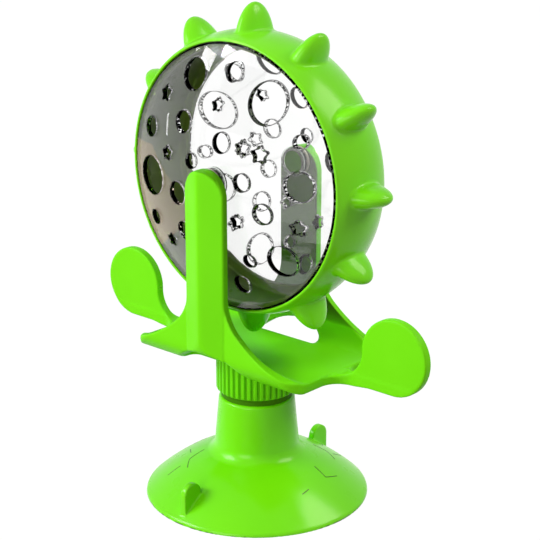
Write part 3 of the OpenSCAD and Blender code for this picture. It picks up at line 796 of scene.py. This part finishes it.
def star_loop(cx, cz, size):
    """A five-pointed star with its corners eased, as a closed loop of points."""
    corners = []
    for i in range(10):
        r = (1.0 if i % 2 == 0 else STAR_IN) * size / 2
        corners.append((r * math.sin(i * math.pi / 5), r * math.cos(i * math.pi / 5)))
    loop = np.array(corners)
    for _ in range(3):
        after = np.roll(loop, -1, axis=0)
        loop = np.stack([0.75 * loop + 0.25 * after, 0.25 * loop + 0.75 * after], 1).reshape(-1, 2)
    return loop[::-1] + (cx, cz)


def circle_loop(cx, cz, r):
    count = max(LOOP_LEAST, int(2 * math.pi * r / LOOP_STEP))
    turn = np.arange(count) * 2 * math.pi / count
    return np.stack([cx + r * np.cos(turn), cz + r * np.sin(turn)], 1)


def away(loop):
    """Unit normals of a closed loop that point away from its middle."""
    along = np.roll(loop, -1, axis=0) - np.roll(loop, 1, axis=0)
    out = np.stack([along[:, 1], -along[:, 0]], 1)
    out = out / np.linalg.norm(out, axis=1, keepdims=True)
    return out if ((loop - loop.mean(0)) * out).sum() > 0 else -out


def cross(a, b):
    return a[:, 0] * b[:, 1] - a[:, 1] * b[:, 0]


def in_loop(points, loop):
    """Which points lie inside a closed loop."""
    x, z = points[:, 0], points[:, 1]
    result = np.zeros(len(points), bool)
    for a, b in zip(loop, np.roll(loop, -1, axis=0)):
        if a[1] != b[1]:
            crosses = (a[1] > z) != (b[1] > z)
            result ^= crosses & (x < (b[0] - a[0]) * (z - a[1]) / (b[1] - a[1]) + a[0])
    return result


def dome_walls(edge_r, turn):
    """The loops of a dome's holes and edge, each with its normals into the solid and its bevel."""
    c, s = math.cos(turn), math.sin(turn)
    spin = np.array([[c, -s], [s, c]])
    holes = [circle_loop(x, z, d / 2) for x, z, d in ROUND_HOLES]
    holes += [star_loop(x, z, d) for x, z, d in STAR_HOLES]
    holes = [loop @ spin.T for loop in holes] + [circle_loop(0, 0, DOME_HUB_R)]
    edge = circle_loop(0, 0, edge_r)
    return [(loop, away(loop), HOLE_BEVEL) for loop in holes] + [(edge, -away(edge), EDGE_BEVEL)]


def dome_plan(loops, edge_r):
    """Triangles between a dome's loops, seen along Y: points, corners, and each loop point's place."""
    spots = []
    for row, z in enumerate(np.arange(-edge_r, edge_r, DOME_ROWS)):
        for x in np.arange(-edge_r, edge_r, DOME_COLUMNS) + (DOME_COLUMNS / 2 if row % 2 else 0.0):
            if math.hypot(x, z) < edge_r - SPOT_EDGE_MARGIN:
                spots.append((x, z))
    spots = np.array(spots)
    border = np.concatenate(loops)
    gap = np.min(np.hypot(spots[:, None, 0] - border[None, :, 0], spots[:, None, 1] - border[None, :, 1]), 1)
    keep = gap > SPOT_MARGIN
    for loop in loops[:-1]:
        keep &= ~in_loop(spots, loop)
    plan = np.concatenate([border, spots[keep]])
    lines, start = [], 0
    for loop in loops:
        n = len(loop)
        lines += [(start + i, start + (i + 1) % n) for i in range(n)]
        start += n
    made = delaunay_2d_cdt([Vector(p) for p in plan.tolist()], lines, [], 0, 1e-5)
    plan = np.array([tuple(v) for v in made[0]])
    source = {ids[0]: k for k, ids in enumerate(made[3]) if ids}
    triangles = np.array([f for f in made[2] if len(f) == 3])
    middles = plan[triangles].mean(1)
    good = np.hypot(*middles.T) < edge_r
    for loop in loops[:-1]:
        good &= ~in_loop(middles, loop)
    triangles = triangles[good]
    a, b, d = triangles.T
    left = cross(plan[b] - plan[a], plan[d] - plan[a]) > 0
    return plan, np.where(left[:, None], triangles, triangles[:, ::-1]), source


def build_dome(name, node, edge_r, turn, behind):
    rise = DOME_Y - DOME_EDGE_Y
    ball_r = (edge_r ** 2 + rise ** 2) / (2 * rise)
    inner_r = ball_r - DOME_T
    mid_y = DOME_Y - ball_r

    def shell(p, r):
        """Points on the sphere of radius r over the plan, facing -Y."""
        y = -(mid_y + np.sqrt(r * r - (p * p).sum(1)))
        return np.stack([p[:, 0], y, p[:, 1]], 1)

    def facing(p, r, sign):
        n = shell(p, r) + (0, mid_y, 0)
        return sign * n / r

    walls = dome_walls(edge_r, turn)
    plan, front, source = dome_plan([loop + into * bevel for loop, into, bevel in walls], edge_r)
    points = [shell(plan, ball_r), shell(plan, inner_r)]
    normals = [facing(plan, ball_r, 1), facing(plan, inner_r, -1)]
    count = len(plan)
    faces = front.tolist() + (front[:, ::-1] + count).tolist()
    finish = [0] * len(faces)
    total, start = 2 * count, 0
    for loop, into, b in walls:
        n = len(loop)
        ring = [source[start + i] for i in range(n)]
        start += n
        out_y, in_y = shell(loop, ball_r)[:, 1], shell(loop, inner_r)[:, 1]
        wall = np.stack([-into[:, 0], np.zeros(n), -into[:, 1]], 1)
        front_n, back_n = facing(loop, ball_r, 1), facing(loop, inner_r, -1)
        rings = [ring]
        ease = BEVEL_EASE * b
        for shift, y, normal in (
            (ease, out_y + ease, wall + front_n), (0.0, out_y + b, wall),
            (0.0, in_y - b, wall), (ease, in_y - ease, wall + back_n),
        ):
            p = loop + into * shift
            points.append(np.stack([p[:, 0], y, p[:, 1]], 1))
            normals.append(normal / np.linalg.norm(normal, axis=1, keepdims=True))
            rings.append(list(range(total, total + n)))
            total += n
        rings.append([k + count for k in ring])
        spokes = loop - loop.mean(0)
        clockwise = cross(spokes, np.roll(spokes, -1, axis=0)).sum() < 0
        hole = (spokes * into).sum() > 0
        # Places in the piece's materials: a hole's cut side with painted glints between eased edges with a
        # painted reflection, or the outer ring with painted glints
        kinds = (3, 3, 1, 3, 3) if hole else (2,) * 5
        for first, second, kind in zip(rings, rings[1:], kinds):
            for i in range(n):
                j = (i + 1) % n
                quad = (first[i], first[j], second[j], second[i])
                faces.append(quad if hole == clockwise else quad[::-1])
                finish.append(kind)
    points, normals = np.concatenate(points), np.concatenate(normals)
    if behind:
        points, normals = points * (-1, -1, 1), normals * (-1, -1, 1)
    points = points + (0, 0, AXIS_Z)
    piece = make_piece(name, points, normals, faces, MAT_DOME, "wheel", [node])
    for material in (MAT_WALL, MAT_RING, MAT_EDGE):
        piece.data.materials.append(material)
    piece.data.polygons.foreach_set("material_index", finish)


# Stage, light and camera

def sees_background(nodes, links):
    """A value that is 1 for rays that show the background, straight or through gloss and glass.

    Rays that have left a matt surface only light it, so they count as 0 even behind glass.
    """
    path = nodes.new("ShaderNodeLightPath")
    first, second, unlit, shown = (nodes.new("ShaderNodeMath") for _ in range(4))
    first.operation = second.operation = "MAXIMUM"
    links.new(path.outputs["Is Camera Ray"], first.inputs[0])
    links.new(path.outputs["Is Glossy Ray"], first.inputs[1])
    links.new(first.outputs[0], second.inputs[0])
    links.new(path.outputs["Is Transmission Ray"], second.inputs[1])
    unlit.operation = "LESS_THAN"
    unlit.inputs[1].default_value = 0.5
    links.new(path.outputs["Diffuse Depth"], unlit.inputs[0])
    shown.operation = "MULTIPLY"
    links.new(second.outputs[0], shown.inputs[0])
    links.new(unlit.outputs[0], shown.inputs[1])
    return shown


def flat_card(name, corners, material):
    mesh = bpy.data.meshes.new(name)
    mesh.from_pydata(corners, [], [(0, 1, 2, 3)])
    mesh.materials.append(material)
    card = bpy.data.objects.new(name, mesh)
    bpy.context.scene.collection.objects.link(card)
    return card


def build_stage():
    material = bpy.data.materials.new("floor_white")
    material.use_nodes = True
    nodes, links = material.node_tree.nodes, material.node_tree.links
    nodes.remove(nodes["Principled BSDF"])
    diffuse = nodes.new("ShaderNodeBsdfDiffuse")
    diffuse.inputs["Color"].default_value = FLOOR_TONE
    glow = nodes.new("ShaderNodeEmission")
    glow.inputs["Strength"].default_value = FLOOR_GLOW
    share = nodes.new("ShaderNodeMath")
    share.operation = "MULTIPLY"
    share.inputs[1].default_value = FLOOR_GLOW_SHARE
    mix = nodes.new("ShaderNodeMixShader")
    links.new(sees_background(nodes, links).outputs[0], share.inputs[0])
    links.new(share.outputs[0], mix.inputs["Fac"])
    links.new(diffuse.outputs[0], mix.inputs[1])
    links.new(glow.outputs[0], mix.inputs[2])
    links.new(mix.outputs[0], nodes["Material Output"].inputs["Surface"])
    corners = [(x * FLOOR_SIZE, y * FLOOR_SIZE, 0) for x, y in ((-1, -1), (1, -1), (1, 1), (-1, 1))]
    floor = flat_card("floor", corners, material)
    floor.location.z = -FLOOR_DROP

    world = bpy.data.worlds.new("studio")
    bpy.context.scene.world = world
    world.use_nodes = True
    nodes, links = world.node_tree.nodes, world.node_tree.links
    tone = nodes.new("ShaderNodeMix")
    tone.data_type = "RGBA"
    tone.inputs["A"].default_value = WORLD_TONE
    tone.inputs["B"].default_value = (*WHITE, 1.0)
    links.new(sees_background(nodes, links).outputs[0], tone.inputs["Factor"])
    links.new(tone.outputs["Result"], nodes["Background"].inputs["Color"])


def dark_flag(name, corners):
    """A studio's dark card, which shows only as a dark patch in glossy surfaces."""
    material, _, _, shader = node_tree(name)
    shader.inputs["Base Color"].default_value = FLAG_TONE
    card = flat_card(name, corners, material)
    card.visible_camera = card.visible_diffuse = card.visible_transmission = card.visible_shadow = False


def area_light(name, at, aim, size, power, colour, mirrored):
    """A soft lamp, or a mirrored one, which only shows in glossy surfaces, as a far window does."""
    data = bpy.data.lights.new(name, "AREA")
    data.shape = "RECTANGLE"
    data.size, data.size_y = size
    data.energy = power
    data.color = colour
    data.cycles.use_multiple_importance_sampling = mirrored
    lamp = bpy.data.objects.new(name, data)
    lamp.visible_camera = lamp.visible_transmission = False
    lamp.visible_diffuse = not mirrored
    lamp.location = Vector(at)
    lamp.rotation_euler = (Vector(aim) - Vector(at)).to_track_quat("-Z", "Y").to_euler()
    bpy.context.scene.collection.objects.link(lamp)


def build_light_and_camera():
    for lamp in LAMPS:
        area_light(*lamp)
    data = bpy.data.cameras.new("camera")
    data.sensor_width = SENSOR
    data.lens = CAMERA_LENS
    data.clip_start, data.clip_end = 0.01, 50.0
    camera = bpy.data.objects.new("camera", data)
    camera.location = Vector(CAMERA_AT) * MM
    camera.rotation_euler = (math.pi / 2 - CAMERA_DIP, 0.0, CAMERA_TURN)
    bpy.context.scene.collection.objects.link(camera)
    bpy.context.scene.camera = camera
    bpy.context.scene.view_settings.view_transform = "Standard"


CAD_MATERIALS = {
    "neck_anchor": MAT_WHITE, "swivel_head": MAT_WHITE, "swivel_bush": MAT_WHITE,
    "head_washer": MAT_STEEL, "head_screw": MAT_STEEL, "swivel_spacer": MAT_SPACER_SHADE,
    "front_axle_pin": MAT_PIN_SHADE, "rear_axle_pin": MAT_PIN_SHADE,
    "front_thrust_washer": MAT_WHITE, "rear_thrust_washer": MAT_WHITE,
    "front_hub_bush": MAT_HUB, "rear_hub_bush": MAT_HUB,
}

build_light_and_camera()
build_stage()
for flag_name, flag_corners in FLAGS.items():
    dark_flag(flag_name, flag_corners)
build_cup()
build_cup_lines()
build_collar()
build_yoke()
build_rim()
build_dome("dome_front", "front_dome", FRONT_WIN_R - DOME_GAP, 0.0, False)
build_dome("dome_rear", "rear_dome", REAR_WIN_R - DOME_GAP, REAR_TURN, True)
for node_name, material in CAD_MATERIALS.items():
    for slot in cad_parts[node_name].material_slots:
        slot.material = material
